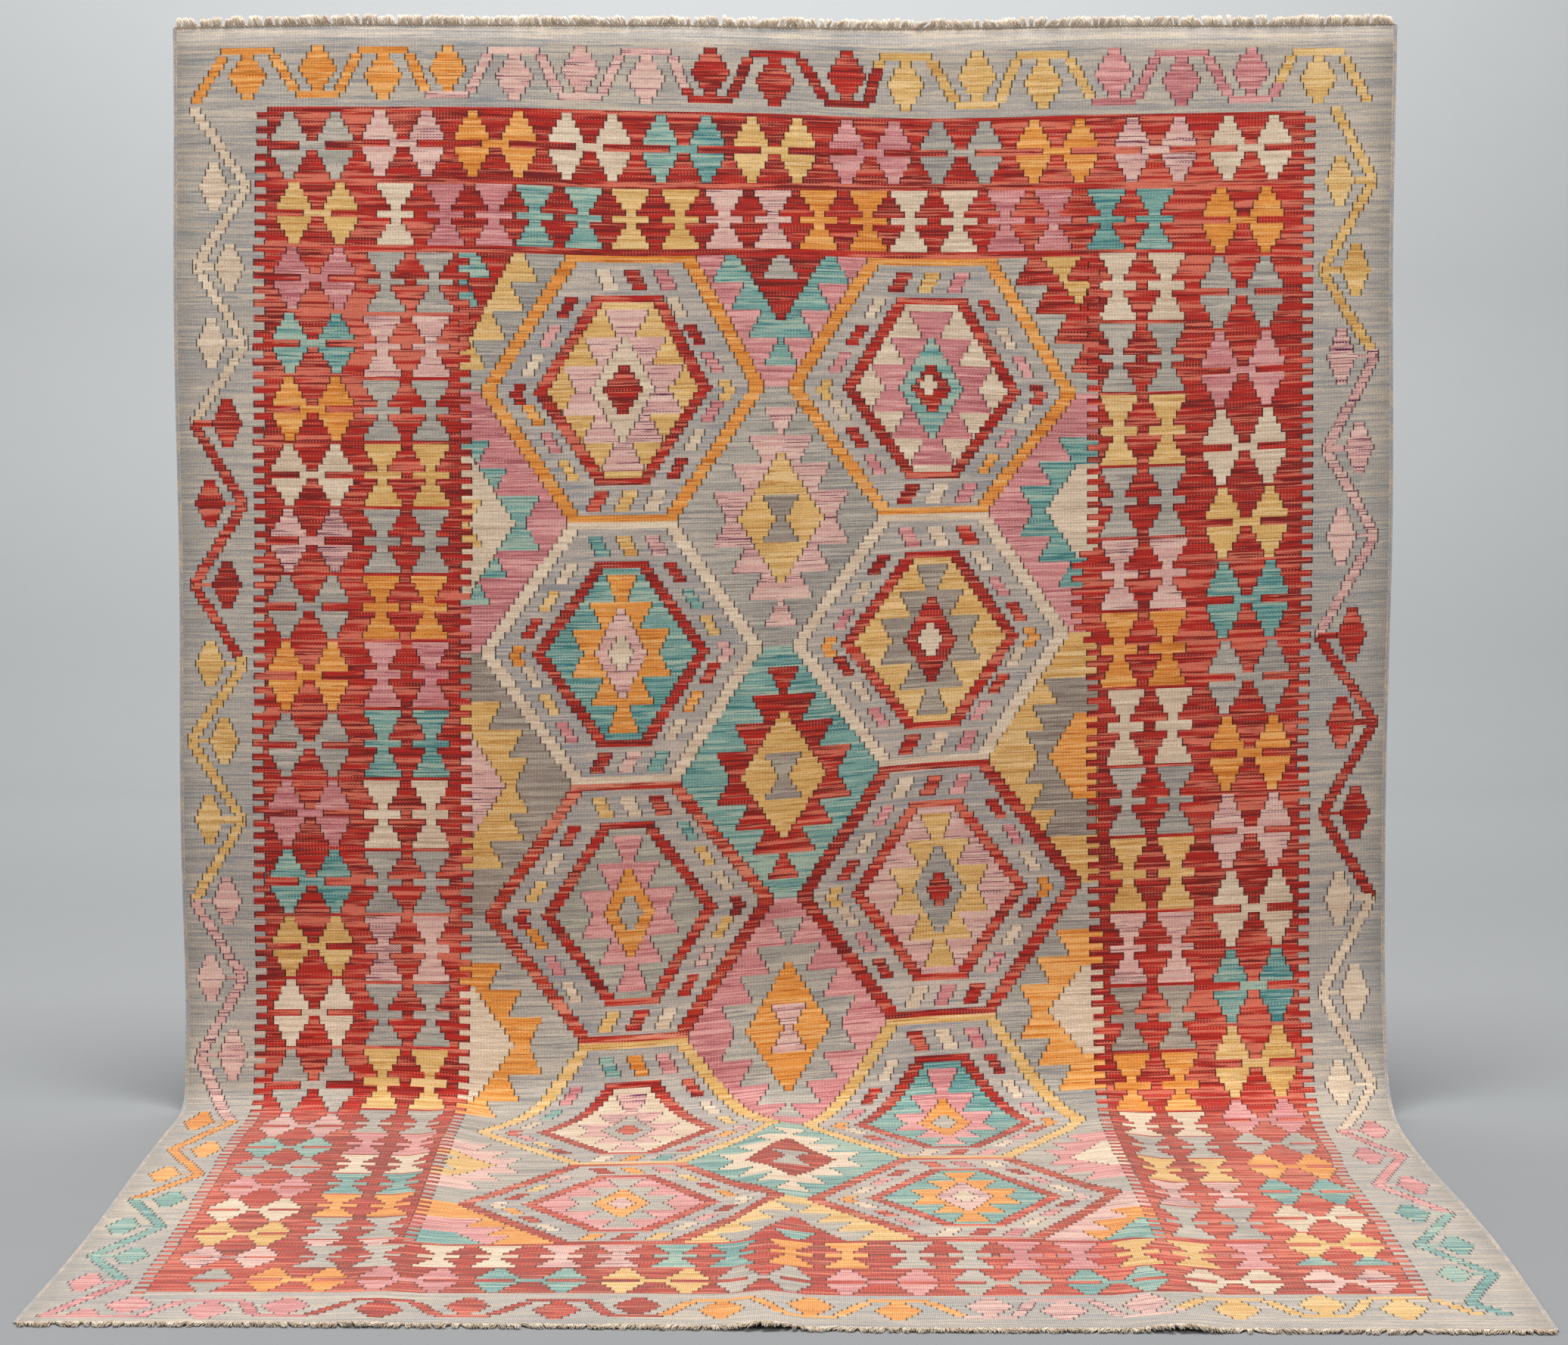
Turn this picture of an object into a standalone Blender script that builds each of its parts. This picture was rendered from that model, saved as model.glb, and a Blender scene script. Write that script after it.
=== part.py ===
"""Flat-woven wool kilim rug, hung by its top end and swept forward onto the floor.

+X runs across the rug, +Y points to the wall behind it and +Z is up. The floor is
z = 0, and the origin is in the middle of the whole part's footprint. The rug is one
sheet that hangs straight, turns in a soft bend and lies flat with two low ridges.
A short cut fringe on its own narrow strip lies just past each end of the cloth.
"""
import math
import random

import bmesh
import bpy

# Driving dimensions, in metres
LENGTH = 2.97            # end to end, measured along the cloth
HALF_WIDTH = 1.014       # at both ends
BULGE = 0.009            # how much wider each half is at mid length
THICKNESS = 0.003
HUNG_HEIGHT = 1.824      # floor to the cloth's top edge
WALL_Y = 0.628           # back of the hung cloth
GAP = 0.0003             # between the cloth's end and a fringe strip

# The bend: a slight lean off the wall low down, then a tight turn onto the floor. The
# right side leans further out than the left and turns more slowly.
LEAN_LEFT = math.radians(12)
LEAN_RIGHT = math.radians(19)
LEAN_SPAN = 0.26         # length of cloth over which the lean comes in
TURN_LEFT = 0.20         # length of cloth in the turn, most of it near the upper end
TURN_RIGHT = 0.40
TURN_POWER = 3
BEND_STEP = 0.005        # step of the sum that follows the bend

# Unevenness of the cloth
DRIFT = 0.006            # how far the floor part wanders to the right
COCKLE = 0.0025          # height of the broad waves on the hung part
FADE_REACH = 0.45        # length of cloth over which waves and ridges fade at the bend
END_WAVE = 0.003         # waviness of the cut ends
SIDE_WAVE = 0.002        # waviness of the selvedges

# Lengthwise ridges: where each stands on the floor at its back and front end, its half
# width, and its height on the wall, at the bend and at the front end
RIDGES = [
    # x back, x front, half width, wall, bend, front
    (-0.012, -0.030, 0.070, 0.002, 0.010, 0.006),
    (0.535, 0.515, 0.070, 0.001, 0.010, 0.005),
]

# Mesh of the cloth
COLUMNS = 49
LOCKS_PER_COLUMN = 3
ROW_SPANS = [
    # how far along each span of rows ends, and its number of rows
    (1.42, 7),
    (1.76, 6),
    (2.08, 14),
    (LENGTH, 8),
]

# Fringe: short cut tufts
STRIP_WIDTH = 0.004
LOCK_LENGTH = 0.012
LOCK_SPREAD = 0.003      # how much longer or shorter a lock may be
LOCK_TIP = 0.50          # width of a lock's tip against its root
LOCK_SWAY = 0.18         # sideways lean of a tip, in lock widths
TIP_THICKNESS = 0.7


def smooth(value):
    """Ease from 0 to 1 as value goes from 0 to 1."""
    value = min(max(value, 0.0), 1.0)
    return value * value * (3 - 2 * value)


def mix(low, high, share):
    return low + (high - low) * share


def turn_reach(side):
    return mix(TURN_LEFT, TURN_RIGHT, (side + 1) / 2)


def bend_length(side):
    return turn_reach(side) + LEAN_SPAN


def turn_angle(rise, side):
    """Angle of the cloth from upright, at a length rise up from where it meets the floor."""
    lean = mix(LEAN_LEFT, LEAN_RIGHT, (side + 1) / 2)
    turn = (math.pi / 2 - lean) * (1 - smooth((rise / turn_reach(side)) ** TURN_POWER))
    return turn + lean * (1 - smooth((rise - turn_reach(side)) / LEAN_SPAN))


def bend(rise, side):
    """Reach from the floor line towards the wall, and height, at a length rise up the cloth."""
    curved = min(rise, bend_length(side))
    steps = max(1, round(curved / BEND_STEP))
    angles = [turn_angle((i + 0.5) * curved / steps, side) for i in range(steps)]
    reach = sum(math.sin(angle) for angle in angles) * curved / steps
    height = sum(math.cos(angle) for angle in angles) * curved / steps
    return reach, height + rise - curved


def ridge_height(x, rise):
    """Height of the ridges, off the wall on the hung part and off the floor in front."""
    floor_run = LENGTH - HUNG_HEIGHT
    forward = min(max(-rise / floor_run, 0.0), 1.0)
    total = 0.0
    for x_back, x_front, half_width, wall, at_bend, front in RIDGES:
        offset = abs(x - mix(x_back, x_front, forward)) / half_width
        if offset < 1:
            height = mix(at_bend, front, forward)
            height = mix(height, wall, smooth(rise / FADE_REACH))
            total += height * math.cos(offset * math.pi / 2) ** 2
    return total


def cockle(side, rise):
    """Broad shallow waves of the hung part, which die out towards the floor."""
    fade = smooth((rise - TURN_RIGHT) / FADE_REACH)
    wave = math.sin(5.1 * side + 2.2 * rise) + 0.6 * math.sin(11.3 * side - 3.1 * rise + 1.0)
    return COCKLE * fade * (1.6 + wave)


def end_wave(side):
    return END_WAVE * (math.sin(4.4 * side + 0.6) + 0.4 * math.sin(10.2 * side))


def place(side, along, lift=0.0):
    """World point of the cloth: side runs -1 to 1, along is measured from the top end."""
    side_wave = SIDE_WAVE * math.sin(7.3 * along + 2.0 * side)
    share = along / LENGTH
    x = side * (HALF_WIDTH + BULGE * math.sin(math.pi * share) + side_wave)
    full_reach, full_height = bend(bend_length(side), side)
    floor_line = bend_length(side) + HUNG_HEIGHT - full_height
    rise = floor_line - along
    reach, height = bend(max(rise, 0.0), side)
    forward = max(-rise, 0.0)
    x += DRIFT * math.sin(math.pi * min(forward / (LENGTH - floor_line), 1.0))
    angle = turn_angle(max(rise, 0.0), side)
    off = lift + ridge_height(x, rise) + cockle(side, rise)
    y = WALL_Y - full_reach + reach - forward - off * math.cos(angle)
    return x, y, height + off * math.sin(angle)


def cloth_rows():
    """Places of the cross rows along the cloth, closer together round the bend."""
    rows = [0.0]
    for end, count in ROW_SPANS:
        start = rows[-1]
        rows += [mix(start, end, (i + 1) / count) for i in range(count)]
    return rows


def make_material(name, colour, roughness):
    material = bpy.data.materials.new(name)
    material.use_nodes = True
    shader = material.node_tree.nodes["Principled BSDF"]
    shader.inputs["Base Color"].default_value = (*colour, 1)
    shader.inputs["Roughness"].default_value = roughness
    shader.inputs["Metallic"].default_value = 0.0
    return material


def add_object(name, mesh_data, material, collection):
    mesh = bpy.data.meshes.new(name)
    mesh_data.to_mesh(mesh)
    mesh_data.free()
    mesh.materials.append(material)
    new_object = bpy.data.objects.new(name, mesh)
    collection.objects.link(new_object)
    return new_object


def make_cloth(collection):
    """The rug itself: a grid laid over the drape and given the thickness of the weave."""
    rows = cloth_rows()
    cloth = bmesh.new()
    bmesh.ops.create_grid(cloth, x_segments=COLUMNS, y_segments=len(rows) - 1, size=1)
    for vert in cloth.verts:
        side = vert.co.x
        share = (1 - vert.co.y) / 2
        along = rows[round(share * (len(rows) - 1))]
        along += end_wave(side) * ((1 - share) ** 8 + share ** 8)
        vert.co = place(side, along)
    rug = add_object("kilim_cloth", cloth, make_material("woven_wool", (0.56, 0.33, 0.29), 0.95), collection)
    skin = rug.modifiers.new("weave_thickness", "SOLIDIFY")
    skin.thickness = THICKNESS
    skin.offset = 1
    skin.use_even_offset = True
    return rug


def make_fringe(name, edge, outward, seed, material, collection):
    """A narrow strip along one end of the cloth, with a row of tapered tufts fused to it."""
    draw = random.Random(seed)
    count = COLUMNS * LOCKS_PER_COLUMN
    lock_width = 2 / count
    fringe = bmesh.new()
    bmesh.ops.create_cube(fringe, size=2)
    lengthwise = [e for e in fringe.edges if abs(e.verts[0].co.x - e.verts[1].co.x) > 1]
    bmesh.ops.subdivide_edges(fringe, edges=lengthwise, cuts=count - 1, use_grid_fill=True)
    for vert in fringe.verts:
        vert.co.y = (vert.co.y + 1) / 2 * STRIP_WIDTH + GAP
        vert.co.z = (vert.co.z + 1) / 2 * THICKNESS
    outer = [f for f in fringe.faces if f.normal.y > 0.9]
    locks = bmesh.ops.extrude_discrete_faces(fringe, faces=outer)["faces"]
    for tip in sorted(locks, key=lambda face: face.calc_center_median().x):
        root = tip.calc_center_median().x
        sway = draw.uniform(-LOCK_SWAY, LOCK_SWAY) * lock_width
        reach = LOCK_LENGTH + draw.uniform(-LOCK_SPREAD, LOCK_SPREAD)
        for vert in tip.verts:
            vert.co.x = root + sway + math.copysign(lock_width / 2 * LOCK_TIP, vert.co.x - root)
            vert.co.y += reach
            vert.co.z *= TIP_THICKNESS
    for vert in fringe.verts:
        side, past, lift = vert.co
        vert.co = place(side, edge + outward * past + end_wave(side), lift)
    bmesh.ops.recalc_face_normals(fringe, faces=fringe.faces)
    return add_object(name, fringe, material, collection)


def main():
    for old in list(bpy.data.objects):
        bpy.data.objects.remove(old)
    collection = bpy.data.collections.new("kilim_rug")
    bpy.context.scene.collection.children.link(collection)
    make_cloth(collection)
    wool = make_material("fringe_wool", (0.62, 0.56, 0.47), 0.95)
    make_fringe("fringe_top", 0.0, -1, 3, wool, collection)
    make_fringe("fringe_bottom", LENGTH, 1, 8, wool, collection)


main()
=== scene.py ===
"""Finish of the kilim rug: the charted cloth, its selvedges, twined ends and cut fringe.

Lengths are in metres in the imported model's frame. The pattern is a weaver's chart, counted
in warps across and in rows of weft along.
"""

import itertools
import math
import random

import bpy
import numpy as np
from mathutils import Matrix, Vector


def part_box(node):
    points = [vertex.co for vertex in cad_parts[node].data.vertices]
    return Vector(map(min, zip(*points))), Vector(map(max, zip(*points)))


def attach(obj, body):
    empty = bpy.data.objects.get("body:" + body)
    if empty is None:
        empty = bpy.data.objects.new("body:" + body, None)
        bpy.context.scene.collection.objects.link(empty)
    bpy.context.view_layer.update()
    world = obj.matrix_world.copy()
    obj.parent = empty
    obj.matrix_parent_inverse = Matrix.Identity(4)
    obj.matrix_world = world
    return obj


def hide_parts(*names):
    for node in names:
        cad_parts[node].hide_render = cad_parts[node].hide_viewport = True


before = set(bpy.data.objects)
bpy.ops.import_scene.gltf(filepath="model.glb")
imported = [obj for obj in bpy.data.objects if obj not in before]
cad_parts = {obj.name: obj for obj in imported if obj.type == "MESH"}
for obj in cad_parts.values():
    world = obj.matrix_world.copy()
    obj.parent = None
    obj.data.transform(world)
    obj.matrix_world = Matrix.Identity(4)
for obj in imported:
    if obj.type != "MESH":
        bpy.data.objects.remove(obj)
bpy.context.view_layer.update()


# --------------------------------------
# Camera: a long lens at chest height, square on to the rug and tipped slightly down, as
# the photograph was taken.
VIEW_DISTANCE = 5.048  # from the back of the hung cloth
VIEW_HEIGHT = 1.231
VIEW_TIP = math.radians(5.47)
LENS = 68.75  # on a 36 mm wide frame
wall_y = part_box("kilim_cloth")[1][1]


def add_object(name, data):
    new_object = bpy.data.objects.new(name, data)
    bpy.context.scene.collection.objects.link(new_object)
    return new_object


camera = add_object("camera", bpy.data.cameras.new("camera"))
camera.data.sensor_fit = "HORIZONTAL"
camera.data.sensor_width = 36
camera.data.lens = LENS
camera.location = (0, wall_y - VIEW_DISTANCE, VIEW_HEIGHT)
camera.rotation_euler = (math.pi / 2 - VIEW_TIP, 0, 0)
bpy.context.scene.camera = camera


# --------------------------------------
# The drape: the rug is one sheet that hangs from its top end, leans off the wall low down,
# turns in a soft bend and lies on the floor with two low ridges and a faint crease. Every
# piece below is laid on it by its side (-1 to 1 across) and its length along from the top.
LENGTH = 2.97
HALF_WIDTH = 1.014
BULGE = 0.009
THICKNESS = 0.003
HUNG_HEIGHT = 1.824
LEAN_LEFT = math.radians(12)
LEAN_RIGHT = math.radians(19)
LEAN_SPAN = 0.26
TURN_LEFT = 0.20
TURN_RIGHT = 0.40
TURN_POWER = 3
DRIFT = 0.006
COCKLE = 0.0025
FADE_REACH = 0.45
END_WAVE = 0.003
SIDE_WAVE = 0.002
RIDGES = [
    # x back, x front, half width, wall, bend, front
    (-0.012, -0.030, 0.070, 0.002, 0.010, 0.006),
    (0.535, 0.515, 0.070, 0.001, 0.010, 0.005),
    (-0.552, -0.560, 0.055, 0.000, 0.008, 0.001),
]
PUCKERS = [
    # small soft swellings of the cloth: side, along, half width, half length, height
    (-0.47, 0.045, 0.060, 0.020, 0.0022),
    (-0.18, 0.060, 0.050, 0.022, 0.0016),
    (0.27, 0.050, 0.055, 0.022, 0.0018),
    (0.68, 0.050, 0.060, 0.020, 0.0020),
    (-0.92, 0.160, 0.050, 0.040, 0.0015),
    (0.45, 0.640, 0.080, 0.030, 0.0014),
    (-0.30, 0.990, 0.090, 0.030, 0.0012),
    (0.10, 1.340, 0.100, 0.025, 0.0012),
    (-0.62, 2.560, 0.090, 0.050, 0.0022),
    (0.83, 2.480, 0.070, 0.060, 0.0020),
]


def smooth(value):
    """Ease from 0 to 1 as value goes from 0 to 1."""
    value = np.clip(value, 0.0, 1.0)
    return value * value * (3 - 2 * value)


def mix(low, high, share):
    return low + (high - low) * share


def turn_reach(side):
    return mix(TURN_LEFT, TURN_RIGHT, (side + 1) / 2)


def bend_length(side):
    return turn_reach(side) + LEAN_SPAN


def turn_angle(rise, side):
    """Angle of the cloth from upright, at a length rise up from where it meets the floor."""
    lean = mix(LEAN_LEFT, LEAN_RIGHT, (side + 1) / 2)
    turn = (math.pi / 2 - lean) * (1 - smooth((rise / turn_reach(side)) ** TURN_POWER))
    return turn + lean * (1 - smooth((rise - turn_reach(side)) / LEAN_SPAN))


# The bend is summed up once in small steps, for columns from a little past one selvedge to a
# little past the other.
BEND_STEP = 0.0025
TABLE_SIDE = 1.2
TABLE_COLUMNS = 49
bend_sides = np.linspace(-TABLE_SIDE, TABLE_SIDE, TABLE_COLUMNS)[:, None]
bend_rises = np.arange(0.0, bend_length(TABLE_SIDE) + 2 * BEND_STEP, BEND_STEP)[None, :]
bend_angles = turn_angle(bend_rises + BEND_STEP / 2, bend_sides)
bend_steps = (np.sin(bend_angles), np.cos(bend_angles))
bend_tables = [(np.cumsum(step, axis=1) - step) * BEND_STEP for step in bend_steps]


def bend(rise, side):
    """Reach from the floor line towards the wall, and height, at a length rise up the cloth."""
    curved = np.minimum(rise, bend_length(side))
    column = (side + TABLE_SIDE) / (2 * TABLE_SIDE) * (TABLE_COLUMNS - 1)
    row = curved / BEND_STEP
    low_column = np.floor(column).astype(int)
    low_row = np.floor(row).astype(int)
    column, row = column - low_column, row - low_row
    found = []
    for table in bend_tables:
        left = mix(table[low_column, low_row], table[low_column, low_row + 1], row)
        right = mix(table[low_column + 1, low_row], table[low_column + 1, low_row + 1], row)
        found.append(mix(left, right, column))
    return found[0], found[1] + rise - curved


def swell(side, along, x, rise):
    """Height of the cloth's unevenness: the ridges, the broad waves and the small puckers."""
    forward = np.clip(-rise / (LENGTH - HUNG_HEIGHT), 0.0, 1.0)
    total = COCKLE * smooth((rise - TURN_RIGHT) / FADE_REACH) * (
        1.6 + np.sin(5.1 * side + 2.2 * rise) + 0.6 * np.sin(11.3 * side - 3.1 * rise + 1.0))
    for x_back, x_front, half_width, wall, at_bend, front in RIDGES:
        offset = np.clip(np.abs(x - mix(x_back, x_front, forward)) / half_width, 0.0, 1.0)
        height = mix(mix(at_bend, front, forward), wall, smooth(rise / FADE_REACH))
        total = total + height * np.cos(offset * math.pi / 2) ** 2
    for pucker_side, pucker_along, half_width, half_length, height in PUCKERS:
        across = (side - pucker_side) * HALF_WIDTH / half_width
        down = (along - pucker_along) / half_length
        total = total + height * np.exp(-across ** 2 - down ** 2)
    return total


def end_wave(side):
    return END_WAVE * (np.sin(4.4 * side + 0.6) + 0.4 * np.sin(10.2 * side))


def with_end_wave(side, along):
    """Length along the cloth, drawn in or out near its cut ends."""
    share = np.clip(along / LENGTH, 0.0, 1.0)
    return along + end_wave(side) * ((1 - share) ** 8 + share ** 8)


def place(side, along, lift):
    """World points of the cloth, as an array with x, y and z in its last axis."""
    side, along, lift = np.broadcast_arrays(side, along, lift)
    side_wave = SIDE_WAVE * np.sin(7.3 * along + 2.0 * side)
    x = side * (HALF_WIDTH + BULGE * np.sin(math.pi * along / LENGTH) + side_wave)
    full_reach, full_height = bend(bend_length(side), side)
    floor_line = bend_length(side) + HUNG_HEIGHT - full_height
    rise = floor_line - along
    reach, height = bend(np.maximum(rise, 0.0), side)
    forward = np.maximum(-rise, 0.0)
    x = x + DRIFT * np.sin(math.pi * np.minimum(forward / (LENGTH - floor_line), 1.0))
    angle = turn_angle(np.maximum(rise, 0.0), side)
    off = lift + swell(side, along, x, rise)
    y = wall_y - full_reach + reach - forward - off * np.cos(angle)
    return np.stack((x, y, height + off * np.sin(angle)), axis=-1)


# --------------------------------------
# The yarns: hand-spun wool dyed in small lots, so each colour runs in streaks from pick to
# pick. A colour is given in per cent as its body, its paler and its deeper streaks, with how
# far each kind of streak shows.
YARNS = {
    # name: body, pale, deep, share of pale bands, share of deep lines, and their fineness
    "border_grey": ((60, 57, 54), (67, 62, 56), (51, 51, 51), 0.42, 0.50),
    "red": ((62, 9, 5), (74, 38, 30), (41, 4, 4), 0.40, 0.62),
    "field_grey": ((59, 56, 53), (67, 62, 57), (50, 50, 51), 0.40, 0.50),
    "ivory": ((74, 66, 57), (79, 72, 63), (67, 58, 49), 0.40, 0.40),
    "gold": ((75, 60, 36), (80, 67, 47), (68, 49, 24), 0.40, 0.42),
    "orange": ((78, 50, 21), (82, 60, 35), (69, 38, 9), 0.40, 0.48),
    "teal": ((41, 56, 53), (57, 64, 58), (19, 42, 43), 0.42, 0.52),
    "sage": ((56, 54, 50), (64, 62, 56), (46, 46, 43), 0.40, 0.42),
    "pink": ((70, 45, 45), (77, 56, 54), (60, 32, 34), 0.40, 0.48),
    "lilac": ((74, 57, 54), (78, 65, 60), (31, 4, 23), 0.45, 0.30, 1.25),
    "grey": ((58, 56, 52), (66, 62, 57), (48, 46, 45), 0.40, 0.50),
    "dark_grey": ((53, 48, 44), (61, 57, 51), (43, 38, 34), 0.35, 0.45),
    "brick": ((63, 15, 7), (76, 46, 37), (45, 4, 4), 0.34, 0.62),
}
PICKS_PER_ROW = 2.6
SLIT_HALF = 0.42  # in warps


def linear(colour):
    """Screen colour, in per cent, to the shader's linear values."""
    shares = [value / 100 for value in colour]
    values = [c / 12.92 if c <= 0.04045 else ((c + 0.055) / 1.055) ** 2.4 for c in shares]
    return (*values, 1)


class Nodes:
    """Short hand for a material's node tree."""

    def __init__(self, name):
        self.material = bpy.data.materials.new(name)
        self.material.use_nodes = True
        self.tree = self.material.node_tree
        self.shader = self.tree.nodes["Principled BSDF"]

    def put(self, socket, value):
        if isinstance(value, bpy.types.NodeSocket):
            self.tree.links.new(value, socket)
        else:
            socket.default_value = value

    def node(self, kind, *inputs, **settings):
        new_node = self.tree.nodes.new("ShaderNode" + kind)
        for key, value in settings.items():
            setattr(new_node, key, value)
        for socket, value in zip(new_node.inputs, inputs):
            if value is not None:
                self.put(socket, value)
        return new_node

    def add(self, kind, *inputs, **settings):
        return self.node(kind, *inputs, **settings).outputs[0]

    def math(self, operation, *inputs):
        return self.add("Math", *inputs, operation=operation)

    def scale(self, value, factor, add=0.0):
        return self.math("MULTIPLY_ADD", value, factor, add)

    def rounded(self, value):
        """1 in the middle of each whole step of value, falling to 0 at its ends."""
        off = self.scale(self.math("FRACT", value), 1.0, -0.5)
        return self.scale(self.math("MULTIPLY", off, off), -4.0, 1.0)

    def vector(self, x, y, z=0.0):
        return self.add("CombineXYZ", x, y, z)

    def split(self, vector):
        return tuple(self.node("SeparateXYZ", vector).outputs)

    def spot(self):
        return self.node("TexCoord").outputs["Object"]

    def attribute(self, name):
        return self.node("Attribute", attribute_name=name).outputs["Fac"]

    def noise(self, vector, scale=1.0, detail=0.0):
        return self.add("TexNoise", vector, None, scale, detail)

    def ramp(self, value, low, high):
        """0 below low, 1 above high, eased between."""
        return self.add("MapRange", value, low, high, interpolation_type="SMOOTHSTEP")

    def blend(self, share, low, high, how="MIX"):
        unused = [None] * 5   # the sockets for plain numbers and vectors
        inputs = (share, *unused, low, high)
        return self.node("Mix", *inputs, data_type="RGBA", blend_type=how).outputs[2]

    def shaded(self, colour, light):
        """The colour, darkened or lightened by a factor."""
        return self.blend(1.0, colour, self.add("CombineColor", light, light, light), "MULTIPLY")

    def bump(self, height, distance, strength):
        new_node = self.node("Bump", strength, distance)
        self.put(new_node.inputs["Height"], height)
        self.put(self.shader.inputs["Normal"], new_node.outputs["Normal"])

    def wool(self, colour, roughness):
        """Matte wool with the faint halo of its loose hairs."""
        self.put(self.shader.inputs["Base Color"], colour)
        self.shader.inputs["Roughness"].default_value = roughness
        self.shader.inputs["Sheen Weight"].default_value = 0.35
        self.shader.inputs["Sheen Tint"].default_value = (1.0, 0.89, 0.74, 1)
        self.shader.inputs["Specular IOR Level"].default_value = 0.2


def woven_yarn(name, body, pale, deep, pale_share, deep_share, fineness=0.45):
    """Weft-faced weave: rounded ribs over the warps, packed picks, streaks and dark slits."""
    made = Nodes(name + "_weft")
    warp, row, _ = made.split(made.add("UVMap", uv_map="weave"))
    from_left, from_right, _ = made.split(made.add("UVMap", uv_map="slit"))
    lot = made.scale(made.attribute("spool"), 3.71)
    rib = made.math("FLOOR", warp)
    odd_rib = made.math("PINGPONG", rib, 1.0)
    height = made.scale(row, PICKS_PER_ROW, made.scale(odd_rib, 0.5))
    pick = made.math("FLOOR", height)
    relief = made.scale(made.rounded(height), 0.35, made.scale(made.rounded(warp), 0.65))

    def streaks(per_warp, per_pick, down=pick, detail=0.0):
        """Noise of so many waves a warp and a pick, or a row where down is the rows."""
        place_at = made.vector(made.scale(warp, per_warp), made.scale(down, per_pick), lot)
        return made.noise(place_at, 1.0, detail)

    single = streaks(0.030, 1.70)
    clouds = streaks(0.05, 0.05, row, 2.0)
    batch = streaks(0.009, 0.008, row)
    bands = made.math("ADD", streaks(0.014, 0.17, detail=1.0), made.scale(batch, 0.26, -0.13))
    lines = made.math("ADD", streaks(0.022, fineness, detail=1.0), made.scale(batch, -0.24, 0.12))
    pale_from = 0.61 - 0.25 * pale_share
    deep_from = 0.68 - 0.25 * deep_share
    dotted = made.math("MULTIPLY", made.ramp(single, 0.60, 0.64), odd_rib)
    colour = made.blend(made.ramp(bands, pale_from, pale_from + 0.06), linear(body), linear(pale))
    colour = made.blend(made.ramp(lines, deep_from, deep_from + 0.05), colour, linear(deep))
    colour = made.blend(made.scale(dotted, 0.55), colour, linear(pale))

    # Each stitch, pick and cloud differs a little, and the light is lost between the ribs and
    # picks and most of all in an open slit.
    stitch = made.add("TexWhiteNoise", made.vector(rib, pick), noise_dimensions="2D")
    open_share = made.noise(made.vector(made.scale(warp, 0.4), made.scale(row, 0.12)))
    inside = made.ramp(made.math("MINIMUM", from_left, from_right), 0.5 * SLIT_HALF, 1.5 * SLIT_HALF)
    slit = made.math("MULTIPLY", made.scale(inside, -1.0, 1.0), made.ramp(open_share, 0.22, 0.48))
    causes = ((single, 0.50, 0.75), (clouds, 0.24, 0.88), (relief, 0.60, 0.59), (slit, -0.92, 1.0))
    light = made.scale(stitch, 0.26, 0.87)
    for cause, factor, least in causes:
        light = made.math("MULTIPLY", light, made.scale(cause, factor, least))
    made.wool(made.shaded(colour, light), 0.92)
    made.bump(made.math("SUBTRACT", relief, made.scale(slit, 1.2)), 0.0009, 0.55)
    return made.material


# --------------------------------------
# The chart: 780 warps by 1020 rows. Every edge in the pattern climbs in steps of a few
# rows, as slit weave does. Its motifs are piles of such blocks, mirrored about a middle.
WARPS = 780
ROWS = 1020
STEP = 4  # rows in one stair of the pattern
FIELD_TOP = 130
FIELD_END = 890
MOTIF = 38 * STEP  # rows in one hexagon
BORDER = 48  # rows of border at each end
NAMES = list(YARNS)
BY_LETTER = {name[0]: name for name in ("red", "pink", "orange", "gold", "teal", "lilac", "ivory")}

chart = np.zeros((ROWS, WARPS), dtype=int)
spool_chart = np.zeros((ROWS, WARPS), dtype=int)
spools = itertools.count(1)


def weave(yarn, spool, left, right, top, rows=STEP):
    """One block of the chart: a yarn carried between two warps for some rows."""
    left, right = max(round(left), 0), max(round(right), 0)
    top, bottom = max(round(top), 0), max(round(top + rows), 0)
    chart[top:bottom, left:right] = NAMES.index(yarn)
    spool_chart[top:bottom, left:right] = spool


def on_path(path, row):
    """Warp at a row, on a path of (row, warp) points."""
    return float(np.interp(row, [point[0] for point in path], [point[1] for point in path]))


def pile(yarn, path, middle, halves, core=STEP, step=STEP, sides=(1, 1), span=(-1, 1)):
    """Blocks stacked above and below a middle block of core rows, by their half widths."""
    spool = next(spools)
    for number, half in enumerate(halves):
        away = core / 2 + (number - 1) * step
        blocks = [(middle + span[0] * core / 2, (span[1] - span[0]) * core / 2)]
        if number:
            above = [(middle - away - step, step)] * (span[0] < 0)
            blocks = above + [(middle + away, step)] * (span[1] > 0)
        for top, rows in blocks:
            centre = on_path(path, top + rows / 2) if isinstance(path, tuple) else path
            weave(yarn, spool, centre - sides[0] * half, centre + sides[1] * half, top, rows)


def listed(text):
    """(yarn, number) pairs of a list such as "grey 39, dark_grey 38"."""
    words = text.replace(",", "").split()
    return list(zip(words[::2], map(float, words[1::2])))


def points_of(text):
    """Points of a list such as "48 60, 250 56"."""
    return tuple(tuple(map(float, point.split())) for point in text.split(","))


def widths_between(widest, narrowest, count):
    return [mix(widest, narrowest, i / (count - 1)) for i in range(count)]


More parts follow.
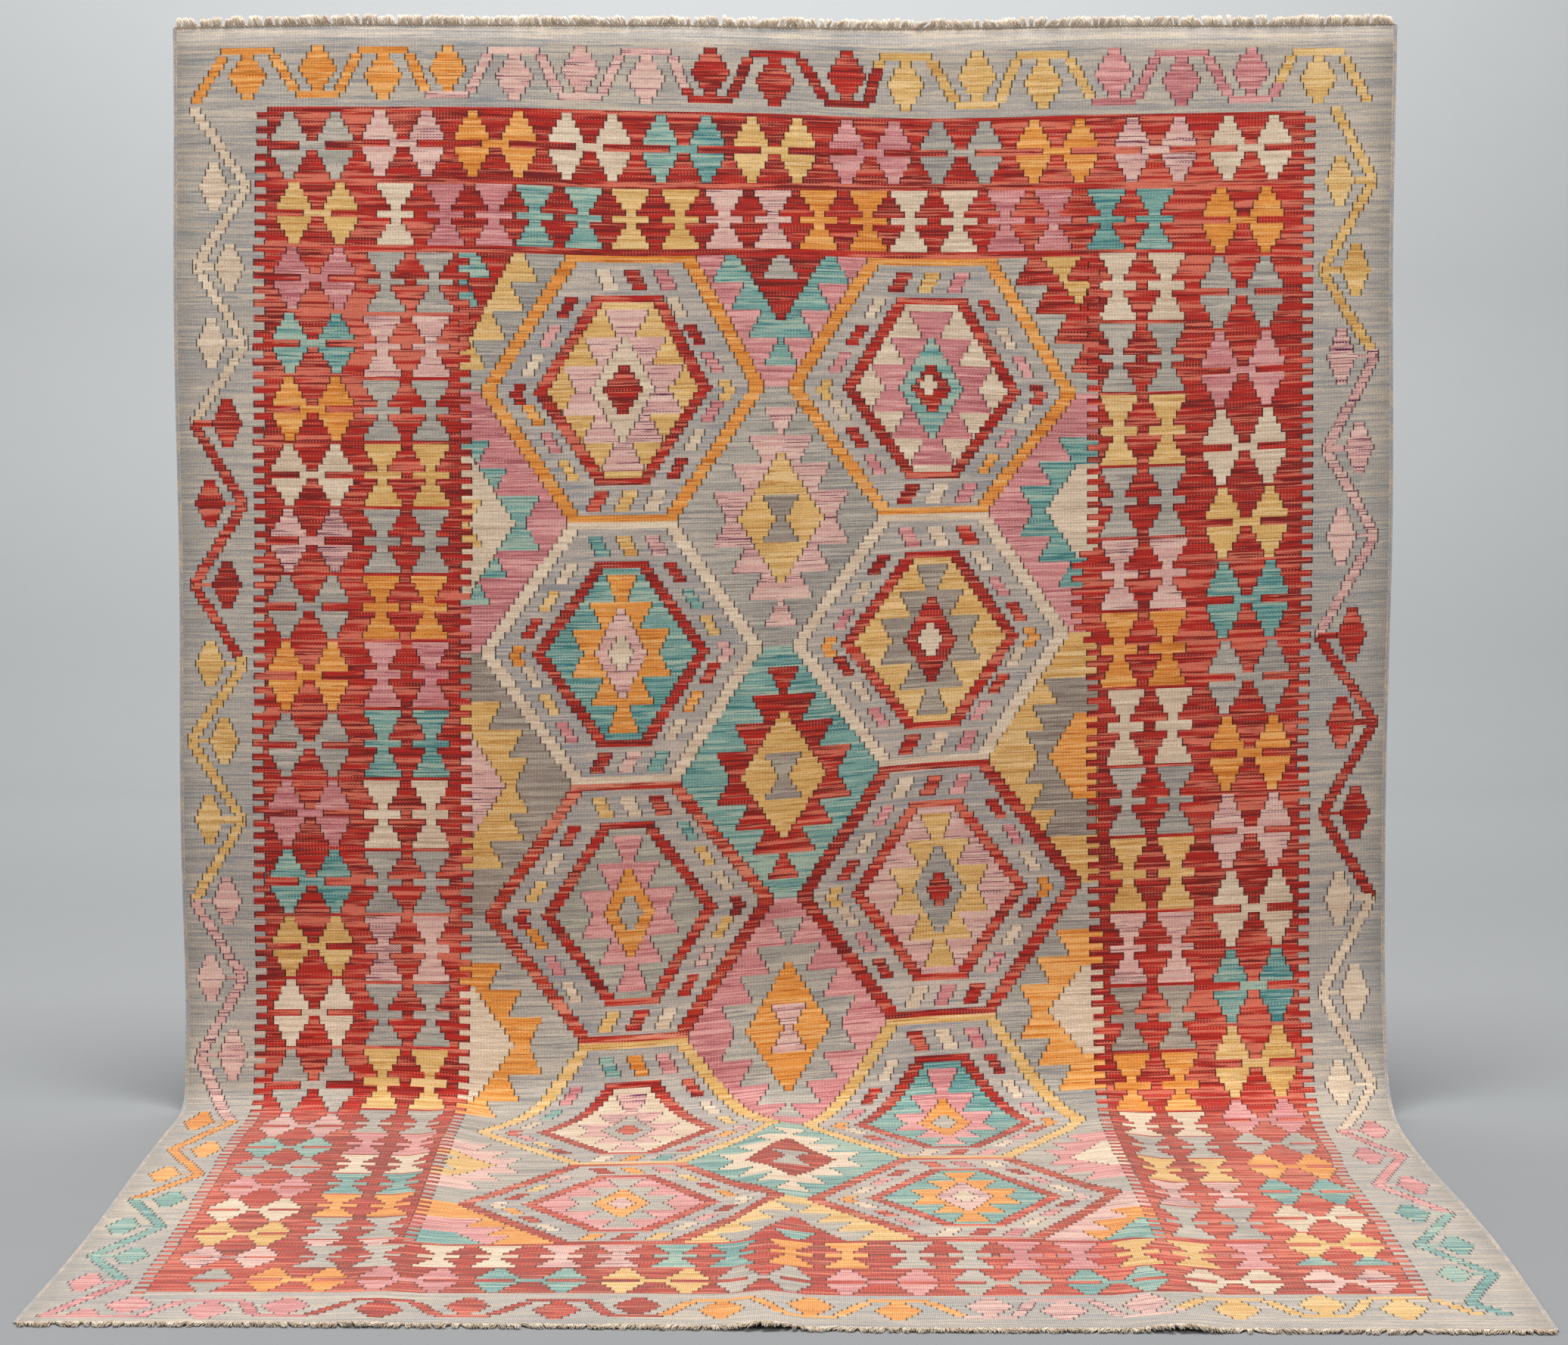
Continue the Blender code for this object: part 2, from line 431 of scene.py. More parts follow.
# Grounds: grey round the edge, red inside it, and grey again for the field, with teeth of
# red along each upright edge.
weave("border_grey", next(spools), 0, WARPS, 0, ROWS)
LEFT_EDGE = points_of("48 60, 250 56, 531 53, 700 51, 860 53, 972 55")
RIGHT_EDGE = points_of("48 722, 440 722, 460 724, 730 725, 770 720, 972 719")
FIELD_LEFT = points_of("130 182, 480 181, 560 178, 890 177")
FIELD_RIGHT = points_of("130 592, 302 592, 314 582, 350 582, 364 592, 510 595, 600 598, 890 599")
TOOTH = 7
TOOTH_PITCH = 7.6


def teeth(path, top, bottom, reach_left, reach_right):
    """Small red blocks down an edge, one every other stair."""
    for number in range(round((bottom - top) / TOOTH_PITCH)):
        row = top + 3 + number * TOOTH_PITCH
        edge = on_path(path, row)
        weave("red", red_spool, edge - reach_left, edge + reach_right, row)


red_spool = next(spools)
for band in range(BORDER, ROWS - BORDER, STEP):
    weave("red", red_spool, on_path(LEFT_EDGE, band), on_path(RIGHT_EDGE, band), band)
teeth(LEFT_EDGE, BORDER, ROWS - BORDER, TOOTH, 0)
teeth(RIGHT_EDGE, BORDER, ROWS - BORDER, 0, TOOTH)

# The two upright columns each side, and the rows across both ends: pairs of diamonds
# joined by a bar, and pairs of hourglasses.
DIAMOND = (11.2, 8.7, 6.0, 3.6)
DIAMOND_APART = 14.9
LINK = 8.8
HOURGLASS = (12.0, 3.8, 6.6, 9.2, 12.0)
HOURGLASS_APART = 15.5


def diamond_pair(yarn, centre, top, rows, apart=DIAMOND_APART, which=(-1, 1), span=(-1, 1)):
    step = (rows - 2) / 9
    middle = top + 1 + step * 4.5
    for direction in which:
        pile(yarn, centre + direction * apart, middle, (0, *DIAMOND), step, step, span=span)
    if len(which) == 2 and span == (-1, 1):
        weave(yarn, next(spools), centre - LINK, centre + LINK, middle - step / 2, step)


def hourglass_pair(yarn, centre, top, rows, apart=HOURGLASS_APART, which=(-1, 1)):
    step = (rows - 2) / 9
    for direction in which:
        pile(yarn, centre + direction * apart, top + 1 + step * 4.5, HOURGLASS, step, step)


def column(motif, path, top, motifs):
    """Motifs one under another, given as a list of their yarns and rows."""
    for yarn, rows in listed(motifs):
        motif(yarn, on_path(points_of(path), top + rows / 2), top, rows)
        top += rows


column(diamond_pair, "50 88, 69 88.4, 107 92, 178 88.7, 292 85.5, 330 83.3, 830 83.5, 900 86", 50,
       "grey 39, gold 38, pink 36, teal 34, orange 38, ivory 38, lilac 39, grey 39, orange 41, "
       "grey 38, pink 40, teal 39, gold 38, ivory 42, grey 45, lilac 50, teal 45, grey 40, pink 41, "
       "ivory 44, gold 42, lilac 37")
column(hourglass_pair, "130 152.3, 180 148.6, 290 146.5, 330 145.3, 390 147, 510 144.7, 650 143.5, "
       "700 146, 850 145, 915 152", 129,
       "grey 35, lilac 35, grey 36, gold 38, grey 39, orange 39, pink 39, teal 40, ivory 41, grey 38, "
       "lilac 41, grey 39, gold 41, grey 45, pink 47, ivory 39, teal 41, orange 43, grey 41")
for direction in (-1, 1):
    pile("lilac", 147 + direction * HOURGLASS_APART, 887, (10.5, 7.5, 4.5), span=(0, 1))
hourglass_pair("grey", 152, 895, 37)
column(diamond_pair, "131 683, 292 686.7, 340 687.7, 435 691.6, 484 693, 528 695.4, 620 695, 756 697, "
       "806 694.5, 895 690.4", 129,
       "grey 42, pink 46, ivory 53, gold 47, teal 49, grey 47, orange 47, lilac 46, ivory 47, teal 45, "
       "gold 45, pink 42, grey 46, orange 50, teal 49, ivory 45, gold 39")
diamond_pair("teal", 690, 912, 30, span=(-1, 0))
column(hourglass_pair, "107 611, 145 619.5, 370 621.5, 417 626, 460 628, 530 630, 610 629.5, "
       "675 631.5, 745 633, 815 632, 880 630", 89,
       "teal 38, ivory 39, grey 40, gold 48, grey 47, lilac 45, orange 48, ivory 48, grey 42, gold 45, "
       "lilac 44, dark_grey 39, orange 41, ivory 39, grey 48, gold 48, lilac 46, grey 53")

for yarn, centre in listed(
        "lilac 147, orange 206, ivory 266, teal 326, gold 384, pink 445, grey 503, orange 564, "
        "lilac 627, ivory 688"):
    diamond_pair(yarn, centre, 49, 38)
hourglass_pair("ivory", 158, 89, 38, which=(-1,))
for yarn, centre in listed(
        "pink 189.5, teal 246.5, gold 308, lilac 367.5, orange 428, ivory 486, pink 547"):
    hourglass_pair(yarn, centre, 89, 38)
diamond_pair("orange", 684, 89, 40)
for yarn, centre in listed(
        "ivory 216, lilac 282.5, teal 344.5, orange 407, grey 473.5, pink 532.7, gold 595"):
    hourglass_pair(yarn, centre, 892, 39)
hourglass_pair("pink", 642 + HOURGLASS_APART, 892, 39, which=(-1,))
end_diamonds = listed(
    "orange 130.5, pink 189.5, teal 254.5, gold 320.5, grey 378, pink 440.5, grey 504, teal 564.5, "
    "ivory 626, lilac 688")
END_APART = (15, 15.6, 18, 17, 14, 18.7, 15, 15.5, 15, 14)
for (yarn, centre), apart in zip(end_diamonds, END_APART):
    diamond_pair(yarn, centre, 931, 41, apart)
diamond_pair("grey", 85 + DIAMOND_APART, 933, 41, which=(-1,))

# The field: half stars at both sides and whole stars up the middle, each on its own
# ground, and two columns of five ringed hexagons over them.
ARMS = (43, 31, 20, 9.5)  # half widths of a star's arms, from its middle out
ARM_TAPER = 7.3  # how much narrower an arm is on its inner side
ARM_STAIRS = 4
HEART = (3.2, 5.8, 8, 11.2)
SIDE_HEART = (5.2, 7.8, 10, 13.2)
TALL_HEART = (12.5, 15, 17.5, 19.5, 5.5, 8, 10.5, 12.5)
MIDDLE = points_of("350 388, 600 393, 900 394")

for band in range(FIELD_TOP, FIELD_END, STEP):
    weave("field_grey", red_spool, on_path(FIELD_LEFT, band), on_path(FIELD_RIGHT, band), band)


def ground_of(yarn, middle, left, right):
    """The field's ground round a star, half a motif each way."""
    spool = next(spools)
    top, bottom = max(middle - MOTIF // 2, FIELD_TOP), min(middle + MOTIF // 2, FIELD_END)
    for band in range(top, bottom, STEP):
        field_left, field_right = on_path(FIELD_LEFT, band), on_path(FIELD_RIGHT, band)
        weave(yarn, spool, max(left, field_left), min(right, field_right), band)


def star(centre, middle, yarns, arms, reach, narrowest, count, sides=(1, 1), heart=HEART):
    """A star behind a stepped diamond, by the yarns of its arms, diamond and heart."""
    yarns = yarns.split()
    span = (0 if middle == FIELD_TOP else -1, 0 if middle == FIELD_END else 1)
    halves = [half for arm in arms for half in widths_between(arm - ARM_TAPER, arm, ARM_STAIRS)]
    pile(yarns[0], centre, middle, halves, 2 * STEP, STEP, sides, span)
    pile(yarns[1], centre, middle, widths_between(reach, narrowest, count), STEP, STEP, sides, span)
    if len(yarns) > 2:
        pile(yarns[2], centre, middle, heart, STEP, STEP, sides, span)


SIDE_STARS = (
    # ground; arms, diamond and heart; arms' half widths; diamond's widest, narrowest and
    # blocks: the left side's stars, then the right side's
    ("grey", "gold red teal", (50, 41, 29, 16), 35, 4, 14),
    ("pink", "teal ivory gold", (50, 29, 18), 35, 7, 11),
    ("dark_grey", "gold lilac", (43, 39.5, 26), 29, 8, 8),
    ("grey", "orange ivory", (54, 40, 27), 36, 11, 9),
    ("grey", "lilac gold grey", (51.5, 41.5, 31), 37.5, 14, 7),
    ("orange", "pink teal", (57, 53, 39), 45, 28, 6),
    ("grey", "red gold red", (53, 40.5, 28.5, 17), 37, 16, 7),
    ("pink", "teal ivory", (50, 38, 25), 34, 15, 8),
    ("gold", "dark_grey orange", (46.5, 42.5, 35), 32, 16, 7),
    ("grey", "orange ivory", (53.5, 42.5, 29.5), 35.5, 15, 7),
    ("grey", "pink ivory", (47.5, 41.5, 30.5), 33.5, 13, 7),
    ("lilac", "orange teal", (44, 36, 24), 36, 12, 8),
)
for number, (ground, yarns, *sizes) in enumerate(SIDE_STARS):
    middle = FIELD_TOP + number % 6 * MOTIF
    edge, left, right, sides = (FIELD_LEFT, 0, 300, (0, 1))
    if number > 5:
        edge, left, right, sides = (FIELD_RIGHT, 480, WARPS, (1, 0))
    ground_of(ground, middle, left, right)
    heart = SIDE_HEART if middle > FIELD_TOP else TALL_HEART
    star(on_path(edge, middle), middle, yarns, *sizes, sides, heart)
for band in range(298, 366, STEP):
    weave("red", red_spool, on_path(FIELD_RIGHT, band), 593, band)
MIDDLE_STARS = (
    ("pink", "teal red grey"), ("grey", "lilac gold dark_grey"), ("teal", "red gold dark_grey"),
    ("pink", "grey orange lilac"), ("teal", "ivory red grey"), ("gold", "grey red teal"))
for number, (ground, yarns) in enumerate(MIDDLE_STARS):
    middle = FIELD_TOP + number * MOTIF
    ground_of(ground, middle, 285, 485)
    star(on_path(MIDDLE, middle), middle, yarns, ARMS, 27.7, 2.95, 10)
teeth(FIELD_LEFT, FIELD_TOP, FIELD_END, 2, TOOTH)
teeth(FIELD_RIGHT, FIELD_TOP, FIELD_END, TOOTH, 2)

OUTLINE_WIDTH = 9.8
INNER_WIDTH = 8.3
INNER_REACH = 57
FLATS = (36, 17.8)  # half widths of the flats, outer and inner
TOP_FLATS = (42, 23)  # the first hexagons' upper flats
WIDE_STAR = (30, 33, 35.5, 38, 18, 20.5, 23, 25.8, 6.5, 8.7, 11.2, 13.5)
INNER_STAR = (24.5, 27, 29, 31.2, 13, 15.2, 17.4, 20, 4.2, 6, 7.8, 9.5)
WIDE_RING = (20.5, 18, 15.5, 12.9, 10.3, 7.7, 5.1, 2.5)
RING = (16.6, 14.4, 12.2, 10, 7.7, 5.3, 3)
WIDE_BOSS = (12.6, 9.8, 6.5, 3.5)
BOSS = (8, 5.8, 3.2)
DASH_INSET = 20.8
DASH_SLOPE = 2.8
SIDE_DASH = 7.7
FLAT_DASH = 9.5
FLAT_DASH_STARTS = (-22.5, -4, 14.8)
FLAT_DASH_LEAN = 2.3
SIDE_DASH_ROWS = (6, 10, 14)  # in steps from the nearer flat
POINT_STEP = 18  # where the dash beside a side point starts


def dash(letter, left, top, width, leans):
    spool = next(spools)
    for lean in leans:
        weave(BY_LETTER[letter], spool, left + lean, left + lean + width, top)
        top += STEP


def hexagon(path, top, reach, yarns, dashes, lean, first):
    """A ringed hexagon. dashes names the dash yarns: top, left side, right side and foot."""
    outline, inner, field, arms, ring, heart = yarns.split()
    above, upper_left, left, lower_left, below, upper_right, right, lower_right = dashes.split()
    middle = top + MOTIF / 2 + 1
    flats = TOP_FLATS if first else FLATS
    upper_outer, lower_outer = (widths_between(reach, flat, 19) for flat in (flats[0], FLATS[0]))
    for span, outer in (((-1, 0), upper_outer), ((0, 1), lower_outer)):
        within = [half - OUTLINE_WIDTH for half in outer[:-1]]
        pile(outline, path, middle - 1, outer, 2 * STEP, span=span)
        pile("field_grey", path, middle - 1, within, 2 * STEP, span=span)
    upper_inner, lower_inner = (widths_between(INNER_REACH, flat, 14) for flat in (flats[1], FLATS[1]))
    for span, ring_halves in (((-1, 0), upper_inner), ((0, 1), lower_inner)):
        pile(inner, path, middle, ring_halves, span=span)
        pile(field, path, middle, [half - INNER_WIDTH for half in ring_halves[:-1]], span=span)
    pile(arms, path, middle, WIDE_STAR if first else INNER_STAR, STEP)
    pile(ring, path, middle, WIDE_RING if first else RING, STEP)
    pile(heart, path, middle, WIDE_BOSS if first else BOSS, STEP)
    for letter, start in zip(above, FLAT_DASH_STARTS):
        dash(letter, on_path(path, top) + start, top + 2 * STEP, FLAT_DASH, (0, lean, 2 * lean))
    for letter, start in zip(below, FLAT_DASH_STARTS):
        dash(letter, on_path(path, top + MOTIF) + start + 4, top + MOTIF - 18, FLAT_DASH,
             (0, -FLAT_DASH_LEAN, -2 * FLAT_DASH_LEAN))
    centre = on_path(path, middle)
    left_dashes = (-1, upper_left, left, lower_left)
    for direction, upper, at_point, lower in (left_dashes, (1, upper_right, right, lower_right)):
        slope = direction * DASH_SLOPE
        outermost = centre + direction * (reach - DASH_INSET) - (SIDE_DASH if direction > 0 else 0)
        for step, letter in zip(SIDE_DASH_ROWS, upper):
            dash(letter, outermost - slope * (POINT_STEP - step), top + step * STEP, SIDE_DASH,
                 (0, slope, 2 * slope))
        for step, letter in zip(SIDE_DASH_ROWS, reversed(lower)):
            dash(letter, outermost - slope * (POINT_STEP - step), top + MOTIF - (step + 3) * STEP,
                 SIDE_DASH, (2 * slope, slope, 0))
        dash(at_point, outermost, top + POINT_STEP * STEP, SIDE_DASH, (0, slope, 0))


HEXAGON_MIDDLES = (
    # warps of the left column's middle, at each half motif down, and of the right column's
    (292, 286.5, 286, 285, 288, 289.5, 292, 291.5, 295, 293.5, 297),
    (484.5, 484.8, 486, 484, 487, 491, 492.5, 492, 495, 493.5, 496),
)
half_motifs = range(FIELD_TOP, FIELD_END + 1, MOTIF // 2)
HEXAGON_PATHS = [tuple(zip(half_motifs, middles)) for middles in HEXAGON_MIDDLES]
HEXAGONS = (
    # half width; outline, inner outline, field, star, ring, heart; dashes; lean of the top dashes
    (90.5, "orange red gold lilac ivory red", "irp rpi r opg rgi irp g pir", 1),
    (92, "orange red ivory pink teal red", "rgp irp g irp rip rip r ipo", -1),
    (90.5, "ivory red teal orange lilac ivory", "tgl igr o igp rlt rtg l roi", 1),
    (88.5, "ivory red gold dark_grey red ivory", "pir rip o rip rip ipr o irp", 1),
    (93.5, "brick red sage pink orange grey", "gir rig r opi gri tgi r glr", 1),
    (92, "red red lilac gold grey red", "irp pir g ipr ipr rpi o rip", -1),
    (95, "gold red ivory lilac grey red", "top pti r pgr iot rig l opr", 1),
    (90, "gold red teal pink orange grey", "rip irp o irp irp rip o rpi", 1),
    (94, "brick red pink grey orange lilac", "rop lgr i ori org gro i rpi", 1),
    (91.5, "brick red teal orange lilac ivory", "rpi rpi o irp irp rpi l rpi", 1),
)
for number, (reach, yarns, dashes, lean) in enumerate(HEXAGONS):
    hexagon(HEXAGON_PATHS[number % 2], FIELD_TOP + number // 2 * MOTIF, reach, yarns, dashes,
            lean * FLAT_DASH_LEAN, number < 2)
pile("ivory", 483, 205, (6, 2.5))

# The borders: a zigzag vine up each side with a leaf in every bay, and a flat-topped wave
# with leaves across each end.
VINE_LEAF = (9.2, 7.4, 5.4, 3.4)
LEAF_REACH = 21.5
LEAF_SHARE = 0.60  # leaf's rows against those of its bay
STROKE = 3.5
STEM_ROWS = 3


def stroke(yarn_of, spool, start, end, count, half, rows_over=0.5):
    """A stroke that steps from one (warp, row) to another."""
    fall = (end[1] - start[1]) / count
    for step in range(count):
        across = mix(start[0], end[0], (step + 0.5) / count)
        top = start[1] + fall * step
        weave(yarn_of(across, top), spool, across - half, across + half, top, abs(fall) + rows_over)


def vine(points, yarns, leaves):
    """points are (warp, row) of the turns; yarns lists each yarn and the row where it ends."""
    spool = next(spools)
    points = points_of(points)

    def yarn_of(_, row):
        return next(name for name, end in listed(yarns) if row < end)

    for here, after in zip(points, points[1:]):
        stroke(yarn_of, spool, here, after, max(round((after[1] - here[1]) / STEP), 1), STROKE)
    for before, (warp, row), after in zip(points[:leaves], points[1:], points[2:]):
        yarn = yarn_of(warp, row + STEP)
        leaf = warp + (LEAF_REACH if after[0] > warp else -LEAF_REACH)
        leaf_step = (after[1] - before[1]) / 2 * LEAF_SHARE / 7
        weave(yarn, next(spools), min(warp, leaf), max(warp, leaf), row - STEM_ROWS / 2, STEM_ROWS)
        pile(yarn, leaf, row, VINE_LEAF, leaf_step, leaf_step)


vine("12 48, 47 93, 14 140, 45 180, 11 224, 42 271, 9 319, 41 365, 7 409, 40 454, 7 501, 38 547, "
     "9 593, 37 649, 12 711, 40 763, 10 812, 37 861, 11 912, 41 956, 11 1012",
     "ivory 224, red 361, gold 498, lilac 645, orange 810, teal 951, pink 1020", 19)
vine("741 46, 767 88, 735 138, 769 189, 737 248, 769 305, 734 366, 772 420, 739 475, 772 526, 739 581, "
     "770 635, 741 682, 770 734, 739 793, 768 844, 736 896, 767 940, 744 985, 760 1001",
     "gold 185, lilac 362, red 524, ivory 679, pink 842, teal 1020", 17)

WAVE_LEAF = (11.8, 9.8, 7, 3.8)
TOP_WAVE = (47, 91.8, 134, 175.3, 217.8, 259.9, 302, 343, 384, 430, 467.3, 513.3, 554.8, 599.9, 643,
            687.4, 730.4)
END_WAVE_WARPS = (94, 133, 182, 226.5, 273, 314, 357.5, 403, 448, 495, 533, 576, 622, 667, 708)
WAVE_FLAT = 16.5  # half width of an upper flat
DIP_FLAT = 14
WAVE_STROKE = 3.6
WAVE_LEAF_STEP = 3.8
WAVE_LEAF_DROP = 13.3  # from a flat to the middle of its leaf


def wave(flats, top_path, rows, yarns, stairs=6):
    """Flat-topped wave across an end; flats are the middles of its upper and lower flats by
    turns, and yarns lists each yarn and the warp where it ends."""
    spool = next(spools)

    def yarn_of(warp, _=0):
        return next(name for name, end in listed(yarns) if warp < end)

    for number, centre in enumerate(flats):
        top = on_path(points_of(top_path), centre)
        foot = top + rows - STEP
        low = number % 2
        half = DIP_FLAT if low else WAVE_FLAT
        weave(yarn_of(centre), spool, centre - half, centre + half, foot if low else top)
        leaf_middle = foot - WAVE_LEAF_DROP if low else top + STEP + WAVE_LEAF_DROP
        pile(yarn_of(centre), centre, leaf_middle, WAVE_LEAF, WAVE_LEAF_STEP, WAVE_LEAF_STEP)
        if number + 1 < len(flats):
            fall = (foot - top - STEP) * (-1 if low else 1)
            first = foot + fall / stairs if low else top + STEP
            end = flats[number + 1] - (WAVE_FLAT if low else DIP_FLAT)
            stroke(yarn_of, spool, (centre + half, first), (end, first + fall), stairs, WAVE_STROKE)


def slant(yarn, start, end, stairs):
    stroke(lambda *_: yarn, next(spools), start, end, stairs, WAVE_STROKE, 0)


wave(TOP_WAVE, "0 13, 780 13", 30,
     "orange 162, lilac 170, orange 184, lilac 327, red 450, gold 588, pink 706, gold 780")
weave("lilac", next(spools), 161, 189, 39)
slant("orange", (32, 18), (13, 46), 7)
slant("gold", (746, 18), (763, 44), 6)
wave(END_WAVE_WARPS, "100 984, 450 978, 700 976", 28,
     "pink 143, red 318, orange 484, lilac 592, gold 780")
weave("pink", next(spools), 11, 66, 1009)
pile("pink", 52, 993, WAVE_LEAF, WAVE_LEAF_STEP, WAVE_LEAF_STEP)
pile("pink", 32, 1009, (8.5, 7, 4), span=(-1, 0))
slant("pink", (78, 987), (62, 1010), 6)
slant("gold", (725, 980), (746, 1001), 5)

# The weft lines aren't level: the weaver beat some parts harder than others, so they climb
# to the right down the hung part and come level again on the floor.
DRIFT_WARPS = (0, 170, 200, 290, 390, 485, 580, 780)
# Each line: a row of the chart, and how many rows lower the weft lies at each warp above.
DRIFT_ROWS = """
0  0 0 0 0 0 0 0 0
48  -3 -2 -2 0 1 3 2 -1
89  -3 -1 -1 2 2 2 2 -1
130  -5 -2 -2 0 -1 1 0 0
206  1 1 1 -1 -2 -2 2 -4
282  0 1 1 0 -2 -5 -7 -14
358  -1 0 0 -1 -4 -9 -12 -19
434  1 2 2 0 -4 -12 -16 -23
510  3 3 3 0 -8 -14 -17 -25
586  2 2 3 1 -7 -14 -18 -24
662  2 3 8 2 -7 -15 -18 -23
738  2 2 5 1 -8 -16 -18 -21
814  3 3 6 3 -5 -14 -16 -18
890  5 3 4 1 -4 -10 -8 -11
930  5 3 3 1 0 -1 -2 -6
972  3 2 2 1 1 0 -2 -8
1020  0 0 0 0 0 0 0 0
"""


def ease_between(places, values, where):
    """Smooth curve through values at places, at the given spots, along the first axis."""
    places = np.asarray(places, dtype=float)
    low = np.clip(np.searchsorted(places, where, side="right") - 1, 0, len(places) - 2)
    slopes = np.gradient(values, places, axis=0)
    span = (places[low + 1] - places[low])[:, None]
    share = (where - places[low])[:, None] / span
    a, b = values[low], values[low + 1]
    rise_a, rise_b = slopes[low] * span, slopes[low + 1] * span
    cubic = share * share * (3 - 2 * share)
    return a + (b - a) * cubic + rise_a * share * (1 - share) ** 2 - rise_b * share ** 2 * (1 - share)


drift_table = np.array([line.split() for line in DRIFT_ROWS.strip().splitlines()], dtype=float)
drift_rows = ease_between(drift_table[:, 0], drift_table[:, 1:], np.arange(ROWS + 1.0))
drift_map = ease_between(DRIFT_WARPS, drift_rows.T, np.arange(WARPS + 1.0)).T


def cloth_point(warp, row, lift):
    """World points for whole warps and rows of the chart."""
    side = warp / (WARPS / 2) - 1
    along = (row + drift_map[row, warp]) * LENGTH / ROWS
    return place(side, with_end_wave(side, along), lift)


# The cloth's mesh: neighbouring rows with the same run of yarn make one face, cut again
# where it would span too much of the drape. Faces share every corner on their edges, on a
# front and a back layer joined round the rim.
CUT_WARPS = 20
CUT_ROWS = 26
BEND_CUT_ROWS = 7
BEND_ROWS = (560, 735)
FRONT_LIFT = THICKNESS - 0.0003
BACK_LIFT = 0.0002

MANY = 100000  # more than all the spools
NARROW = 3  # a tile of fewer warps is joined to the next one
code = chart * MANY + spool_chart
faces_cut = []
open_runs = {}
for row in range(ROWS + 1):
    current = {}
    if row < ROWS:
        line = code[row]
        breaks = np.flatnonzero(np.diff(line)) + 1
        runs = zip([0, *breaks], [*breaks, WARPS])
        current = {(int(start), int(end), int(line[start])): row for start, end in runs}
    limit = BEND_CUT_ROWS if BEND_ROWS[0] < row < BEND_ROWS[1] else CUT_ROWS
    for run, top in list(open_runs.items()):
        if run in current and row % limit:
            current[run] = top
        else:
            faces_cut.append((*run, top, row))
    open_runs = current

tiles = []
for start, end, run_code, top, bottom in faces_cut:
    cuts = [start, *range(start - start % CUT_WARPS + CUT_WARPS, end, CUT_WARPS), end]
    if len(cuts) > 2 and cuts[1] - start < NARROW:
        del cuts[1]
    if len(cuts) > 2 and end - cuts[-2] < NARROW:
        del cuts[-2]
    tiles += [(a, b, top, bottom, start, end, run_code) for a, b in zip(cuts, cuts[1:])]

used = np.zeros((ROWS + 1, WARPS + 1), dtype=bool)
for left, right, top, bottom, *_ in tiles:
    used[[top, top, bottom, bottom], [left, right, left, right]] = True
index = np.full(used.shape, -1)
rows_used, warps_used = np.nonzero(used)
index[rows_used, warps_used] = np.arange(len(rows_used))
front_count = len(rows_used)


def corners_round(left, right, top, bottom):
    """Rows and warps of the corners in use round a tile, from its top left one down."""
    down = [(row, left) for row in np.flatnonzero(used[top:bottom, left]) + top]
    foot = [(bottom, warp) for warp in np.flatnonzero(used[bottom, left:right]) + left]
    up = [(row, right) for row in np.flatnonzero(used[top + 1:bottom + 1, right])[::-1] + top + 1]
    back = [(top, warp) for warp in np.flatnonzero(used[top, left + 1:right + 1])[::-1] + left + 1]
    return np.array(down + foot + up + back).T


# Each corner keeps its warp and row, how far it lies from the nearest slit on either side
# (FAR at a selvedge), and its place in the picture that a bake would paint.
FAR = 9.0
rounds = [corners_round(*tile[:4]) for tile in tiles]
face_list = []
uv_rows = []
for turned, layer, bake_start in ((1, 0, 0.01), (-1, front_count, 0.51)):
    for (rows_round, warps_round), (*_, start, end, _) in zip(rounds, tiles):
        rows_round, warps_round = rows_round[::turned], warps_round[::turned]
        face_list.append((index[rows_round, warps_round] + layer).tolist())
        far = np.full(len(warps_round), FAR)
        uv_rows.append(np.column_stack((
            warps_round, rows_round,
            warps_round - start if start > 0 else far, end - warps_round if end < WARPS else far,
            bake_start + 0.48 * warps_round / WARPS, 0.97 - 0.96 * rows_round / ROWS)))

rim = (
    # the edge's corners, and which way round its faces go
    ([(0, warp) for warp in np.flatnonzero(used[0])], 1),
    ([(ROWS, warp) for warp in np.flatnonzero(used[ROWS])], -1),
    ([(row, 0) for row in np.flatnonzero(used[:, 0])], -1),
    ([(row, WARPS) for row in np.flatnonzero(used[:, WARPS])], 1),
)
RIM_PATCH = ((0.001, 0.990), (0.005, 0.990), (0.001, 0.994), (0.005, 0.994))
for spots, turned in rim:
    for here, after in zip(spots, spots[1:]):
        quad = [(here, 0), (after, 0), (after, front_count), (here, front_count)][::turned]
        face_list.append([int(index[spot]) + layer for spot, layer in quad])
        uv_rows.append([(warp, row, FAR, FAR, *bake) for ((row, warp), _), bake in zip(quad, RIM_PATCH)])
rim_faces = len(face_list) - 2 * len(tiles)

points = [cloth_point(warps_used, rows_used, lift) for lift in (FRONT_LIFT, BACK_LIFT)]
mesh = bpy.data.meshes.new("kilim_weave")
mesh.from_pydata(np.concatenate(points).tolist(), [], face_list)
uv_table = np.concatenate(uv_rows).astype(np.float32)
for number, layer_name in enumerate(("weave", "slit", "OFBake")):
    layer = mesh.uv_layers.new(name=layer_name)
    layer.uv.foreach_set("vector", uv_table[:, 2 * number:2 * number + 2].ravel())
codes = np.array([tile[-1] for tile in tiles] * 2 + [0] * rim_faces)
spool_layer = mesh.attributes.new("spool", "FLOAT", "FACE")
spool_layer.data.foreach_set("value", (codes % MANY).astype(np.float32))
for yarn in NAMES:
    mesh.materials.append(woven_yarn(yarn, *YARNS[yarn]))
mesh.polygons.foreach_set("material_index", (codes // MANY).astype(np.int32))
mesh.shade_smooth()
for face in mesh.polygons[2 * len(tiles):]:
    face.use_smooth = False
cloth = add_object("kilim_weave", mesh)
